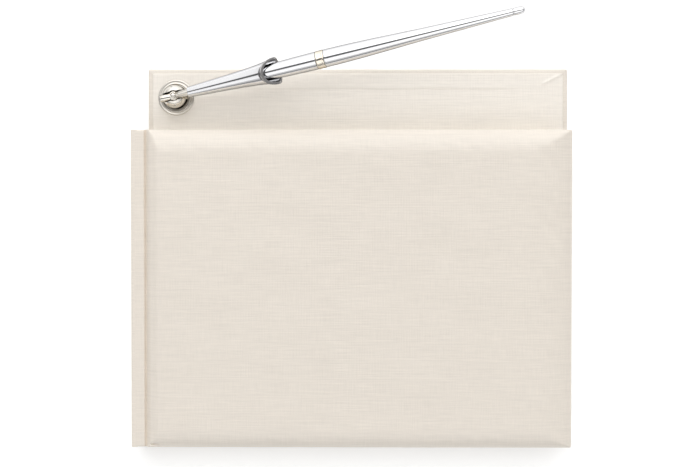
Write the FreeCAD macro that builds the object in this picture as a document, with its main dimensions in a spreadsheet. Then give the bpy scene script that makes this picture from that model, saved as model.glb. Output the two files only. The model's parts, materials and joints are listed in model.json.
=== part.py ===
# Wedding guest book with a padded front cover, a ledge above its head and a desk pen in a swivel funnel.
# Millimetres. +Z is up, +X runs from the spine to the fore-edge and +Y from the tail to the head.
# The origin is the centre of the back cover's underside. Book coordinates, used inside this file, start at
# the spine's outer face, the tail edge and the underside.
import FreeCAD, Part
import os
import re
import Sketcher

# name, value, meaning. Each size is written once, here.
SIZES = [
    ("cover_wide", 228.6, "width over the spine, 9 inches"),
    ("cover_tall", 165.1, "height of front cover and spine, 6.5 inches"),
    ("ledge_deep", 33.0, "how far the back cover stands out above the front cover"),
    ("cloth", 0.5, "covering cloth with its glue"),
    ("paper", 0.3, "pasted sheets, leaves and spine lining"),
    ("leaf_gap", 0.1, "air between leaves and under the front cover"),
    ("back_board_thick", 3.0, "back board"),
    ("front_board_thick", 2.0, "front board"),
    ("spine_board_thick", 2.0, "spine board"),
    ("joint_wide", 6.7, "spine face to the back board's covered edge"),
    ("turn_in", 10.0, "width of the cloth turned over each board edge"),
    ("facing_inset", 2.4, "ledge facing to the cover edge"),
    ("facing_seam", 12.0, "facing's lower edge below the head of the front cover, under the pages"),
    ("page_inset", 3.2, "pages to the cover edge"),
    ("spine_hollow", 0.2, "gap between spine board and spine lining"),
    ("sig_thick", 1.8, "one sewn signature"),
    ("strip_start", 0.3, "front cover cloth to the spine face"),
    ("strip_wide", 6.6, "flat strip between spine and groove"),
    ("strip_thick", 2.4, "card in the strip"),
    ("groove_wide", 1.6, "pressed groove beside the pad"),
    ("groove_floor", 0.8, "cloth and glue at the bottom of the groove"),
    ("pad_edge", 1.0, "foam thickness at the pad's edge"),
    ("pad_crown", 5.0, "rise of the foam above its edge"),
    ("pad_shoulder", 14.0, "width over which the foam rises"),
    ("band_radius", 0.8, "head and tail bands"),
    ("swivel_right", 21.5, "swivel axis to the spine face"),
    ("swivel_down", 15.1, "swivel axis to the ledge's head edge"),
    ("flange_radius", 9.4, "swivel flange"),
    ("flange_step", 7.9, "raised step of the flange"),
    ("flange_thick", 0.7, "each step of the flange"),
    ("turn_gap", 0.1, "flange to dome, and dome floor to rivet head"),
    ("rivet_radius", 1.5, "rivet shank"),
    ("rivet_fit", 0.05, "running clearance around the rivet in the dome"),
    ("rivet_hole_fit", 0.1, "clearance around the rivet in board, cloth and flange"),
    ("rivet_head", 3.0, "lower head of the rivet"),
    ("rivet_upset", 2.4, "upper head of the rivet, inside the dome"),
    ("head_thick", 0.7, "each rivet head"),
    ("washer_radius", 4.8, "washer under the board"),
    ("washer_thick", 0.6, "washer under the board"),
    ("sink_fit", 0.2, "counterbore around and under the washer and rivet head"),
    ("dome_radius", 6.3, "swivel dome"),
    ("dome_floor", 1.4, "floor of the dome"),
    ("dome_wall", 3.8, "upright wall of the dome above its floor"),
    ("dome_rise", 5.0, "rounded part of the dome"),
    ("ball_radius", 2.6, "ball of the funnel stem"),
    ("ball_fit", 0.3, "pocket around the ball"),
    ("ball_lift", 3.1, "rivet head to the ball, room for the stem's tail to swing down"),
    ("stem_radius", 1.9, "stem through the ball and into the funnel"),
    ("stem_tail", 7.6, "stem beyond the ball, away from the funnel"),
    ("stem_fit", 0.5, "slot beside the stem"),
    ("pin_radius", 0.7, "tilt pin"),
    ("pin_fit", 0.05, "running clearance around the tilt pin in the ball"),
    ("pin_reach", 5.0, "half length of the tilt pin"),
    ("funnel_azimuth", 12.2, "funnel direction from +X, degrees"),
    ("funnel_tilt", 12.0, "funnel above the ledge, degrees"),
    ("funnel_start", 8.5, "ball centre to the funnel's small end"),
    ("funnel_floor", 4.5, "depth of solid metal at the small end"),
    ("stem_socket", 3.0, "depth of the stem in the funnel"),
    ("funnel_throat", 48.0, "ball centre to the end of the straight cone"),
    ("funnel_flare", 52.0, "ball centre to the start of the flared mouth"),
    ("funnel_mouth", 57.0, "ball centre to the middle of the slanted mouth"),
    ("funnel_end", 58.5, "ball centre to the lower side of the mouth"),
    ("funnel_small_r", 2.7, "outside, small end"),
    ("funnel_throat_r", 5.3, "outside, end of the straight cone"),
    ("funnel_flare_r", 5.9, "outside, start of the flare"),
    ("funnel_mouth_r", 6.4, "outside, middle of the mouth"),
    ("funnel_end_r", 6.5, "outside, lower side of the mouth"),
    ("funnel_wall", 0.5, "wall of the funnel, measured across the axis"),
    ("mouth_slant", 44.0, "slant of the mouth's upper side, degrees"),
    ("liner_start", 28.0, "ball centre to the liner's inner end"),
    ("liner_end", 46.0, "ball centre to the liner's outer end"),
    ("liner_thick", 0.45, "liner of the funnel"),
    ("pen_fit", 0.25, "liner to pen"),
    ("tip_start", 14.0, "ball centre to the writing tip's shell"),
    ("tip_end", 24.0, "writing tip's shell to the front barrel"),
    ("tip_radius", 0.8, "small end of the writing tip's shell"),
    ("nose_length", 7.5, "narrow bore of the writing tip's shell"),
    ("grip_end", 58.0, "ball centre to the front barrel's fuller part"),
    ("grip_radius", 4.15, "front barrel there"),
    ("barrel_end", 79.0, "ball centre to the trim ring"),
    ("barrel_radius", 4.5, "front barrel at the trim ring"),
    ("ring_wide", 4.2, "trim ring along the pen"),
    ("ring_radius", 4.7, "trim ring"),
    ("tail_radius", 4.55, "pen tail at the trim ring"),
    ("tail_length", 96.5, "pen tail along the axis"),
    ("cap_length", 6.0, "rounded end of the pen tail"),
    ("bush_radius", 2.6, "bush that joins barrel and tail"),
    ("bush_reach", 8.0, "bush into the barrel and into the tail"),
    ("refill_radius", 1.4, "ink refill"),
    ("refill_nose", 0.45, "nose of the refill"),
    ("refill_fit", 0.1, "clearance around the refill"),
    ("refill_out", 0.6, "nose beyond the writing tip's shell"),
]
LOWER_SIGNATURES = 3
UPPER_SIGNATURES = 2
LOOSE_LEAVES = ("leaf_2", "leaf_1", "flyleaf")
# Share of the pad's shoulder width, and share of its rise: the foam's outline from edge to crown.
CROWN = [(0.0, 0.0), (0.08, 0.42), (0.3, 0.76), (0.62, 0.94), (1.0, 1.0)]
# Share of the tail's length, and share of the tail's radius.
TAIL_TAPER = [(0.0, 1.0), (0.1, 0.98), (0.25, 0.9), (0.38, 0.8), (0.52, 0.69), (0.78, 0.54), (1.0, 0.4)]
CAP_ROUND = [(0, 1.0), (0.6, 0.93), (0.92, 0.6)]

# Places worked out from the sizes, in book coordinates.
PLACES = {
    "back_tall": "cover_tall + ledge_deep",
    "back_board_top": "cloth + back_board_thick",
    "turned_top": "back_board_top + cloth",
    "lined_top": "turned_top + paper",
    "page_west": "cloth + spine_board_thick + spine_hollow + paper + leaf_gap",
    "page_east": "cover_wide - page_inset",
    "page_north": "cover_tall - page_inset",
    "flyleaf_top": "lined_top + paper",
    "lower_top": f"flyleaf_top + {LOWER_SIGNATURES} * sig_thick",
    "upper_low": "lower_top + leaf_gap",
    "upper_top": f"upper_low + {UPPER_SIGNATURES} * sig_thick",
    "hinge_height": f"upper_top + {len(LOOSE_LEAVES)} * (leaf_gap + paper) + leaf_gap",
    "cover_low": "hinge_height + leaf_gap",
    "cover_turned": "cover_low + paper",
    "cover_board": "cover_turned + cloth",
    "cover_board_top": "cover_board + front_board_thick",
    "strip_east": "strip_start + strip_wide",
    "pad_west": "strip_east + groove_wide",
    "pad_wide": "cover_wide - cloth - (pad_west + cloth)",
    "pad_tall": "cover_tall - 2 * cloth",
    "sink_radius": "washer_radius + sink_fit",
    "sink_top": "cloth + sink_fit + head_thick + washer_thick",
    "flange_top": "lined_top + 2 * flange_thick",
    "dome_low": "flange_top + turn_gap",
    "dome_floor_top": "dome_low + dome_floor",
    "upset_top": "dome_floor_top + turn_gap + head_thick",
    "dome_shoulder": "dome_floor_top + dome_wall",
    "ball_height": "upset_top + ball_lift + ball_radius",
    "pocket_radius": "ball_radius + ball_fit",
    "slot_half": "stem_radius + stem_fit",
    "bore_small_r": "funnel_small_r + (funnel_throat_r - funnel_small_r) * funnel_floor"
                    " / (funnel_throat - funnel_start) - funnel_wall",
    "bore_throat_r": "funnel_throat_r - funnel_wall",
    "bore_start": "funnel_start + funnel_floor",
    "bore_slope": "(bore_throat_r - bore_small_r) / (funnel_throat - bore_start)",
    "liner_start_r": "bore_small_r + bore_slope * (liner_start - bore_start)",
    "liner_end_r": "bore_small_r + bore_slope * (liner_end - bore_start)",
    "pen_start_r": "liner_start_r - liner_thick - pen_fit - bore_slope * (liner_start - tip_end)",
    "pen_end_r": "liner_end_r - liner_thick - pen_fit",
    "ring_end": "barrel_end + ring_wide",
    "tail_end": "ring_end + tail_length",
    "tail_small_r": f"tail_radius * {TAIL_TAPER[-1][1]}",
    "refill_bore": "refill_radius + refill_fit",
    "nose_bore": "refill_nose + refill_fit / 2",
    "refill_end": "ring_end + bush_reach",
}

doc = FreeCAD.newDocument("guest_book")
sheet = doc.addObject("Spreadsheet::Sheet", "sizes")
for row, (alias, value, meaning) in enumerate(SIZES, 1):
    sheet.set(f"A{row}", meaning)
    sheet.set(f"B{row}", str(value))
    sheet.setAlias(f"B{row}", alias)
doc.recompute()

ALIASES = {alias for alias, _, _ in SIZES}
NODES = []


def bound(text):
    """The expression for a size or place, in terms of the sheet's cells."""
    def swap(word):
        name = word.group(0)
        if name in PLACES:
            return f"({bound(PLACES[name])})"
        return f"sizes.{name}" if name in ALIASES else name
    return re.sub(r"[a-z_]+[a-z0-9_]*", swap, str(text))


def number(text):
    """The value of a size or place."""
    return float(sheet.evalExpression(re.sub(r"sizes\.", "", bound(text))))


def node(item, label):
    """Name an object as one of the book's pieces."""
    item.Label = label
    NODES.append(item)
    return item


def book_place(x=0.0, y=0.0, z=0.0):
    """A point in book coordinates as a placement in the part's frame."""
    east = number(x) - number("cover_wide") / 2
    north = number(y) - number("back_tall") / 2
    return FreeCAD.Placement(FreeCAD.Vector(east, north, number(z)), FreeCAD.Rotation())


# Flat sheets and boards

def block(name, x, y, z):
    """A board or sheet between three pairs of book coordinates."""
    item = doc.addObject("Part::Box", name)
    item.setExpression("Length", bound(f"{x[1]} - ({x[0]})"))
    item.setExpression("Width", bound(f"{y[1]} - ({y[0]})"))
    item.setExpression("Height", bound(f"{z[1]} - ({z[0]})"))
    item.setExpression("Placement.Base.x", bound(f"{x[0]} - cover_wide / 2"))
    item.setExpression("Placement.Base.y", bound(f"{y[0]} - back_tall / 2"))
    item.setExpression("Placement.Base.z", bound(z[0]))
    return item


def upright(name, x, y, z, radius):
    """A round upright in book coordinates, such as a bore through the board."""
    item = doc.addObject("Part::Cylinder", name)
    item.setExpression("Radius", bound(radius))
    item.setExpression("Height", bound(f"{z[1]} - ({z[0]})"))
    item.setExpression("Placement.Base.x", bound(f"{x} - cover_wide / 2"))
    item.setExpression("Placement.Base.y", bound(f"{y} - back_tall / 2"))
    item.setExpression("Placement.Base.z", bound(z[0]))
    return item


def joined(name, *parts):
    item = doc.addObject("Part::MultiFuse", name)
    item.Shapes = list(parts)
    item.Refine = True
    return item


def cut(name, base, *tools):
    item = doc.addObject("Part::Cut", name)
    item.Base = base
    item.Tool = tools[0] if len(tools) == 1 else joined(f"{name}_tools", *tools)
    return item


# Turned pieces and the crowned pad

def plane(body, role):
    return next(feature for feature in body.Origin.OriginFeatures if feature.Role == role)


def sketch_on(body, name, role):
    sketch = body.newObject("Sketcher::SketchObject", name)
    sketch.AttachmentSupport = (plane(body, role), [""])
    sketch.MapMode = "FlatFace"
    return sketch


def pin_down(sketch, constraint, name, size):
    """Add a named dimension and bind it to the sheet."""
    index = sketch.addConstraint(constraint)
    sketch.renameConstraint(index, name)
    sketch.setExpression(f"Constraints.{name}", bound(size))


def outline_sketch(body, name, outline):
    """A closed profile of (radius, height) corners, beside the body's own axis."""
    sketch = sketch_on(body, name, "XZ_Plane")
    corners = [FreeCAD.Vector(number(radius), number(height), 0) for radius, height in outline]
    count = len(corners)
    for i in range(count):
        sketch.addGeometry(Part.LineSegment(corners[i], corners[(i + 1) % count]), False)
    for i in range(count):
        sketch.addConstraint(Sketcher.Constraint("Coincident", i, 2, (i + 1) % count, 1))
    for i, (radius, height) in enumerate(outline):
        if radius == "0":
            sketch.addConstraint(Sketcher.Constraint("PointOnObject", i, 1, -2))
        else:
            pin_down(sketch, Sketcher.Constraint("DistanceX", -1, 1, i, 1, corners[i].x), f"radius_{i}", radius)
        pin_down(sketch, Sketcher.Constraint("DistanceY", -1, 1, i, 1, corners[i].y), f"height_{i}", height)
    return sketch


def turned(name, outline, placement):
    """A piece turned on a lathe about its own Z axis."""
    body = doc.addObject("PartDesign::Body", name)
    sketch = outline_sketch(body, f"{name}_profile", outline)
    turn = body.newObject("PartDesign::Revolution", f"{name}_turn")
    turn.Profile = sketch
    turn.ReferenceAxis = (sketch, ["V_Axis"])
    turn.Angle = 360
    body.Tip = turn
    body.Placement = placement
    return body


def crowned(name, grow, lift, start):
    """The pad's rounded form: rectangles that shrink as they rise, grown sideways and lifted by a skin."""
    body = doc.addObject("PartDesign::Body", name)
    body.Placement = book_place("pad_west + cloth + pad_wide / 2", "cover_tall / 2", 0)
    levels = [(start, "0")]
    levels += [(f"cover_board_top + pad_edge + {rise} * pad_crown + {lift}", f"{share} * pad_shoulder")
               for share, rise in CROWN]
    sections = []
    for i, (height, inset) in enumerate(levels):
        sketch = sketch_on(body, f"{name}_section_{i}", "XY_Plane")
        sketch.setExpression("AttachmentOffset.Base.z", bound(height))
        wide = f"pad_wide + 2 * ({grow}) - 2 * ({inset})"
        tall = f"pad_tall + 2 * ({grow}) - 2 * ({inset})"
        half_wide, half_tall = number(wide) / 2, number(tall) / 2
        corners = [FreeCAD.Vector(a * half_wide, b * half_tall, 0) for a, b in ((-1, -1), (1, -1), (1, 1), (-1, 1))]
        for k in range(4):
            sketch.addGeometry(Part.LineSegment(corners[k], corners[(k + 1) % 4]), False)
        for k in range(4):
            sketch.addConstraint(Sketcher.Constraint("Coincident", k, 2, (k + 1) % 4, 1))
        for k, direction in enumerate(("Horizontal", "Vertical", "Horizontal", "Vertical")):
            sketch.addConstraint(Sketcher.Constraint(direction, k))
        sketch.addConstraint(Sketcher.Constraint("Symmetric", 0, 1, 2, 1, -1, 1))
        pin_down(sketch, Sketcher.Constraint("DistanceX", 0, 1, 0, 2, 2 * half_wide), "wide", wide)
        pin_down(sketch, Sketcher.Constraint("DistanceY", 1, 1, 1, 2, 2 * half_tall), "tall", tall)
        sections.append(sketch)
    loft = body.newObject("PartDesign::AdditiveLoft", f"{name}_loft")
    loft.Profile = sections[0]
    loft.Sections = sections[1:]
    loft.Ruled = True
    body.Tip = loft
    return body


# Back cover and spine

def back_cover():
    board_x = ("joint_wide + cloth", "cover_wide - cloth")
    board_y = ("cloth", "back_tall - cloth")
    board_z = ("cloth", "back_board_top")
    inner_x = ("joint_wide + turn_in", "cover_wide - turn_in")
    rivet = ("swivel_right", "back_tall - swivel_down")

    sheet_of_board = block("back_board_blank", board_x, board_y, board_z)
    sink = upright("board_sink", *rivet, ("0", "sink_top"), "sink_radius")
    hole = upright("board_hole", *rivet, ("0", "back_board_top + 1"), "rivet_radius + rivet_hole_fit")
    node(cut("back_board", sheet_of_board, sink, hole), "back_board")

    tray = block("back_cloth_tray", ("joint_wide", "cover_wide"), ("0", "back_tall"), ("0", "turned_top"))
    joint = block("back_cloth_joint", ("0", "joint_wide + cloth"), ("0", "cover_tall"), ("0", "cloth"))
    board_room = block("back_cloth_board_room", board_x, board_y, board_z)
    window = block("back_cloth_window", inner_x, ("turn_in", "back_tall - turn_in"),
                   ("back_board_top - cloth", "turned_top + 1"))
    # The rivet stays clear of the turned-in cloth whatever the turn-in's width.
    rivet_room = upright("back_cloth_rivet_room", *rivet, ("cloth", "turned_top + 1"),
                         "rivet_radius + rivet_hole_fit")
    node(cut("back_cloth", joined("back_cloth_skin", tray, joint), board_room, window, rivet_room), "back_cloth")

    seam = "cover_tall - facing_seam"
    facing = joined(
        "ledge_facing_sheet",
        block("ledge_facing_top", ("joint_wide + facing_inset", "cover_wide - facing_inset"),
              (seam, "back_tall - facing_inset"), ("turned_top", "lined_top")),
        block("ledge_facing_dip", inner_x, (seam, "back_tall - turn_in"), ("back_board_top", "turned_top")))
    facing_hole = upright("ledge_facing_hole", *rivet, ("cloth", "lined_top + 1"), "rivet_radius + rivet_hole_fit")
    node(cut("ledge_facing", facing, facing_hole), "ledge_facing")

    node(joined(
        "back_pastedown",
        block("back_pastedown_top", ("page_west", "page_east"), ("page_inset", seam), ("turned_top", "lined_top")),
        block("back_pastedown_dip", inner_x, ("turn_in", seam), ("back_board_top", "turned_top"))),
        "back_pastedown")


def spine():
    board_x = ("cloth", "cloth + spine_board_thick")
    board_y = ("cloth", "cover_tall - cloth")
    board_z = ("cloth", "hinge_height - leaf_gap")
    node(block("spine_board", board_x, board_y, board_z), "spine_board")
    skin = block("spine_cloth_skin", ("0", board_x[1]), ("0", "cover_tall"), ("cloth", "hinge_height"))
    room = block("spine_cloth_room", (board_x[0], f"{board_x[1]} + 1"), board_y, ("0", "hinge_height + 1"))
    node(cut("spine_cloth", skin, room), "spine_cloth")
    lining_x = ("page_west - leaf_gap - paper", "page_west - leaf_gap")
    node(block("spine_lining", lining_x, ("page_inset", "page_north"), ("lined_top", "hinge_height - leaf_gap")),
         "spine_lining")
    for label, centre in (("head_band", "page_north + band_radius"), ("tail_band", "page_inset - band_radius")):
        node(upright(label, "page_west + band_radius", centre, ("lined_top", "hinge_height - leaf_gap"),
                     "band_radius"), label)


def pages():
    page_x, page_y = ("page_west", "page_east"), ("page_inset", "page_north")
    node(block("back_flyleaf", page_x, page_y, ("lined_top", "flyleaf_top")), "back_flyleaf")
    for group, count, low in (("lower", LOWER_SIGNATURES, "flyleaf_top"), ("upper", UPPER_SIGNATURES, "upper_low")):
        for i in range(count):
            label = f"{group}_signature_{i + 1}"
            height = (f"{low} + {i} * sig_thick", f"{low} + {i + 1} * sig_thick")
            node(block(label, page_x, page_y, height), label)
    for i, label in enumerate(LOOSE_LEAVES):
        low = f"upper_top + leaf_gap + {i} * (leaf_gap + paper)"
        node(block(label, page_x, page_y, (low, f"{low} + paper")), label)


# Front cover

def front_cover():
    whole_y, board_y = ("0", "cover_tall"), ("cloth", "cover_tall - cloth")
    board_x = ("pad_west + cloth", "cover_wide - cloth")
    strip_x = ("strip_start + cloth", "strip_east - cloth")
    strip_top = "cover_turned + strip_thick"
    node(block("front_board", board_x, board_y, ("cover_board", "cover_board_top")), "front_board")
    node(block("hinge_strip", strip_x, board_y, ("cover_turned", strip_top)), "hinge_strip")
    node(crowned("foam_pad", "0", "0", "cover_board_top"), "foam_pad")

    skin = joined(
        "front_cloth_skin",
        block("front_cloth_strip", ("strip_start", "strip_east"), whole_y, ("cover_turned", f"{strip_top} + cloth")),
        block("front_cloth_groove", ("strip_east", "pad_west"), whole_y,
              ("cover_turned", "cover_turned + groove_floor")),
        block("front_cloth_edge", ("pad_west", "cover_wide"), whole_y, ("cover_turned", "cover_board_top")),
        crowned("front_cloth_crown", "cloth", "cloth", "cover_board_top"))
    window = block("front_cloth_window", ("pad_west + turn_in", "cover_wide - turn_in"),
                   ("turn_in", "cover_tall - turn_in"), ("cover_turned - 1", "cover_board + cloth"))
    board_room = block("front_cloth_board_room", board_x, board_y, ("cover_board", "cover_board_top"))
    strip_room = block("front_cloth_strip_room", strip_x, board_y, ("cover_turned - 1", strip_top))
    pad_room = crowned("front_cloth_pad_room", "0", "0", "cover_board_top")
    node(cut("front_cloth", skin, window, board_room, strip_room, pad_room), "front_cloth")

    node(joined(
        "front_pastedown",
        block("front_pastedown_sheet", ("strip_start + cloth + paper", "page_east"), ("page_inset", "page_north"),
              ("cover_low", "cover_turned")),
        block("front_pastedown_dip", ("pad_west + turn_in", "cover_wide - turn_in"),
              ("turn_in", "cover_tall - turn_in"), ("cover_turned", "cover_board"))),
        "front_pastedown")


# Swivel

def swivel():
    """The flange, rivet and washer stay with the ledge; the dome turns on the rivet and holds the tilt pin."""
    axis = book_place("swivel_right", "back_tall - swivel_down", 0)
    hole = "rivet_radius + rivet_hole_fit"
    step = "lined_top + flange_thick"
    node(turned("swivel_flange", [
        (hole, "lined_top"), ("flange_radius", "lined_top"), ("flange_radius", step), ("flange_step", step),
        ("flange_step", "flange_top"), (hole, "flange_top")], axis), "swivel_flange")
    node(turned("pivot_rivet", [
        ("0", "cloth + sink_fit"), ("rivet_head", "cloth + sink_fit"),
        ("rivet_head", "cloth + sink_fit + head_thick"), ("rivet_radius", "cloth + sink_fit + head_thick"),
        ("rivet_radius", "upset_top - head_thick"), ("rivet_upset", "upset_top - head_thick"),
        ("rivet_upset", "upset_top"), ("0", "upset_top")], axis), "pivot_rivet")
    node(turned("rivet_washer", [
        (hole, "sink_top - washer_thick"), ("washer_radius", "sink_top - washer_thick"),
        ("washer_radius", "sink_top"), (hole, "sink_top")], axis), "rivet_washer")

    turn = FreeCAD.Placement(axis.Base, FreeCAD.Rotation(FreeCAD.Vector(0, 0, 1), number("funnel_azimuth")))
    lower = doc.addObject("Part::Cylinder", "dome_wall")
    lower.setExpression("Radius", bound("dome_radius"))
    lower.setExpression("Height", bound("dome_floor + dome_wall"))
    lower.setExpression("Placement.Base.z", bound("dome_low"))
    upper = doc.addObject("Part::Ellipsoid", "dome_cap")
    upper.setExpression("Radius1", bound("dome_rise"))
    upper.setExpression("Radius2", bound("dome_radius"))
    upper.setExpression("Radius3", bound("dome_radius"))
    upper.Angle1 = 0
    upper.setExpression("Placement.Base.z", bound("dome_shoulder"))
    bore = doc.addObject("Part::Cylinder", "dome_bore")
    bore.setExpression("Radius", bound("rivet_radius + rivet_fit"))
    bore.setExpression("Height", bound("dome_floor_top"))
    pocket = doc.addObject("Part::Cylinder", "dome_pocket")
    pocket.setExpression("Radius", bound("pocket_radius"))
    pocket.setExpression("Height", bound("dome_wall + dome_rise + 1"))
    pocket.setExpression("Placement.Base.z", bound("dome_floor_top"))
    slot = doc.addObject("Part::Box", "dome_slot")
    slot.setExpression("Length", bound("4 * dome_radius"))
    slot.setExpression("Width", bound("2 * slot_half"))
    slot.setExpression("Height", bound("dome_wall + dome_rise + 1"))
    slot.setExpression("Placement.Base.x", bound("-2 * dome_radius"))
    slot.setExpression("Placement.Base.y", bound("-slot_half"))
    slot.setExpression("Placement.Base.z", bound("dome_floor_top"))
    pin_bore = cross_pin("dome_pin_bore", "pin_radius", "dome_radius")
    dome = node(cut("swivel_dome", joined("dome_blank", lower, upper), bore, pocket, slot, pin_bore), "swivel_dome")
    dome.Placement = turn
    pin = node(cross_pin("tilt_pin", "pin_radius", "pin_reach"), "tilt_pin")
    pin.Placement = turn.multiply(pin.Placement)


def cross_pin(name, radius, reach):
    """A round bar along the tilt axis, through the ball's centre, before the dome is turned."""
    item = doc.addObject("Part::Cylinder", name)
    item.setExpression("Radius", bound(radius))
    item.setExpression("Height", bound(f"2 * {reach}"))
    item.Placement = FreeCAD.Placement(FreeCAD.Vector(0, number(reach), number("ball_height")),
                                       FreeCAD.Rotation(FreeCAD.Vector(1, 0, 0), 90))
    return item


def funnel_axis():
    """The ball's centre, with +Z along the funnel and +X on its lower side."""
    base = book_place("swivel_right", "back_tall - swivel_down", "ball_height").Base
    around = FreeCAD.Rotation(FreeCAD.Vector(0, 0, 1), number("funnel_azimuth"))
    up = FreeCAD.Rotation(FreeCAD.Vector(0, 1, 0), 90 - number("funnel_tilt"))
    return FreeCAD.Placement(base, around.multiply(up))


def funnel():
    axis = funnel_axis()
    ball = doc.addObject("Part::Sphere", "stem_ball")
    ball.setExpression("Radius", bound("ball_radius"))
    stem = doc.addObject("Part::Cylinder", "stem_rod")
    stem.setExpression("Radius", bound("stem_radius"))
    stem.setExpression("Height", bound("stem_tail + funnel_start + stem_socket"))
    stem.setExpression("Placement.Base.z", bound("-stem_tail"))
    bore = doc.addObject("Part::Cylinder", "stem_bore")
    bore.setExpression("Radius", bound("pin_radius + pin_fit"))
    bore.setExpression("Height", bound("4 * ball_radius"))
    bore.Placement = FreeCAD.Placement(FreeCAD.Vector(0, 2 * number("ball_radius"), 0),
                                       FreeCAD.Rotation(FreeCAD.Vector(1, 0, 0), 90))
    node(cut("ball_stem", joined("ball_stem_blank", ball, stem), bore), "ball_stem").Placement = axis

    socket_end = "funnel_start + stem_socket"
    blank = turned("funnel_blank", [
        ("stem_radius", "funnel_start"), ("funnel_small_r", "funnel_start"), ("funnel_throat_r", "funnel_throat"),
        ("funnel_flare_r", "funnel_flare"), ("funnel_mouth_r", "funnel_mouth"), ("funnel_end_r", "funnel_end"),
        ("funnel_end_r - funnel_wall", "funnel_end"), ("funnel_mouth_r - funnel_wall", "funnel_mouth"),
        ("funnel_flare_r - funnel_wall", "funnel_flare"), ("bore_throat_r", "funnel_throat"),
        ("bore_small_r", "bore_start"), ("0", "bore_start"), ("0", socket_end), ("stem_radius", socket_end)],
        FreeCAD.Placement())
    slant = doc.addObject("Part::Box", "funnel_slant")
    for side in ("Length", "Width", "Height"):
        slant.setExpression(side, bound("8 * funnel_end_r"))
    across = -4 * number("funnel_end_r")
    tilt = FreeCAD.Rotation(FreeCAD.Vector(0, 1, 0), -number("mouth_slant"))
    corner = tilt.multVec(FreeCAD.Vector(across, across, 0)) + FreeCAD.Vector(0, 0, number("funnel_mouth"))
    slant.Placement = FreeCAD.Placement(corner, tilt)
    node(cut("funnel_cup", blank, slant), "funnel_cup").Placement = axis

    node(turned("funnel_liner", [
        ("liner_start_r - liner_thick", "liner_start"), ("liner_start_r", "liner_start"),
        ("liner_end_r", "liner_end"), ("liner_end_r - liner_thick", "liner_end")], axis), "funnel_liner")


# Pen

def pen():
    axis = funnel_axis()
    nose_end = "tip_start + nose_length"
    bush_start, bush_end = "barrel_end - bush_reach", "ring_end + bush_reach"
    pieces = {
        "pen_tip": [("nose_bore", "tip_start"), ("tip_radius", "tip_start"), ("pen_start_r", "tip_end"),
                    ("refill_bore", "tip_end"), ("refill_bore", nose_end), ("nose_bore", nose_end)],
        "pen_refill": [("0", "tip_start - refill_out"), ("refill_nose", "tip_start - refill_out"),
                       ("refill_nose", f"{nose_end} + refill_fit"), ("refill_radius", f"{nose_end} + refill_fit"),
                       ("refill_radius", "refill_end"), ("0", "refill_end")],
        "pen_barrel": [("refill_bore", "tip_end"), ("pen_start_r", "tip_end"), ("pen_end_r", "liner_end"),
                       ("grip_radius", "grip_end"), ("barrel_radius", "barrel_end"), ("bush_radius", "barrel_end"),
                       ("bush_radius", bush_start), ("refill_bore", bush_start)],
        "pen_bush": [("refill_bore", bush_start), ("bush_radius", bush_start), ("bush_radius", bush_end),
                     ("refill_bore", bush_end)],
        "trim_ring": [("bush_radius", "barrel_end"), ("ring_radius", "barrel_end"), ("ring_radius", "ring_end"),
                      ("bush_radius", "ring_end")],
        "pen_tail": [("bush_radius", "ring_end")]
                    + [(f"tail_radius * {share}", f"ring_end + tail_length * {along}")
                       for along, share in TAIL_TAPER]
                    + [("0", "tail_end"), ("0", bush_end), ("bush_radius", bush_end)],
        "tail_cap": [("0", "tail_end")]
                    + [(f"tail_small_r * {share}", f"tail_end + cap_length * {along}")
                       for along, share in CAP_ROUND]
                    + [("0", "tail_end + cap_length")],
    }
    for label, outline in pieces.items():
        node(turned(label, outline, axis), label)


back_cover()
spine()
pages()
front_cover()
swivel()
funnel()
pen()
doc.recompute()

for item in doc.Objects:
    if "Invalid" in item.State or "Error" in item.State:
        raise RuntimeError(f"{item.Label} failed: {item.State}")
os.makedirs("parts", exist_ok=True)
for item in NODES:
    if item.Shape.isNull() or not item.Shape.isValid() or item.Shape.Volume <= 0:
        raise RuntimeError(f"{item.Label} has no sound shape")
    item.Shape.exportStep(f"parts/{item.Label}.step")
    print(f"{item.Label}: {len(item.Shape.Solids)} solid, {item.Shape.Volume:.1f} mm3")
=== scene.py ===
# Looks of the wedding guest book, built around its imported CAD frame. Metres, in the part's own frame.
import json
import math
import random

import bmesh
import bpy
import numpy as np
from mathutils import Matrix, Vector


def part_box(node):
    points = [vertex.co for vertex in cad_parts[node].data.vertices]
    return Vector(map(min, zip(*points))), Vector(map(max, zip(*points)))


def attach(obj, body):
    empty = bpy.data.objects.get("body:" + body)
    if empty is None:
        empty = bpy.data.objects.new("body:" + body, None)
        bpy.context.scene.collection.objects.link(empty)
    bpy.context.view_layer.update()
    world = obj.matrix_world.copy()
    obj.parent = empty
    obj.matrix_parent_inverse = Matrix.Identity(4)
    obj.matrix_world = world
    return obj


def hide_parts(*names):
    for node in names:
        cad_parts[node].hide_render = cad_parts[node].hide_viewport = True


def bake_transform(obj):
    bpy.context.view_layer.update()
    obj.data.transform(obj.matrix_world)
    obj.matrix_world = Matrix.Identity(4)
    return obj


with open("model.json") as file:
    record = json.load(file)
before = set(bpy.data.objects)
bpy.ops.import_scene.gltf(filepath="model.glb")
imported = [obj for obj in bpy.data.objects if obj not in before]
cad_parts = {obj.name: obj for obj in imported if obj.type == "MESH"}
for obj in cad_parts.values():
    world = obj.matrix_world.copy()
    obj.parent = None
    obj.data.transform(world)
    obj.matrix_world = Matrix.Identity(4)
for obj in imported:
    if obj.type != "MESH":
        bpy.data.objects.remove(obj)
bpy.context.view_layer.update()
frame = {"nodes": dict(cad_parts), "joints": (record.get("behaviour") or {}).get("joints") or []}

MM = 0.001
CLOTH = 0.5 * MM
SHEET = 0.3 * MM
JOINTS = {joint["name"]: joint for joint in frame["joints"]}
TURN_IN = 10 * MM
RAGGED = 0.25 * MM


# ---------------------------------------------------------------- meshes

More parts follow.
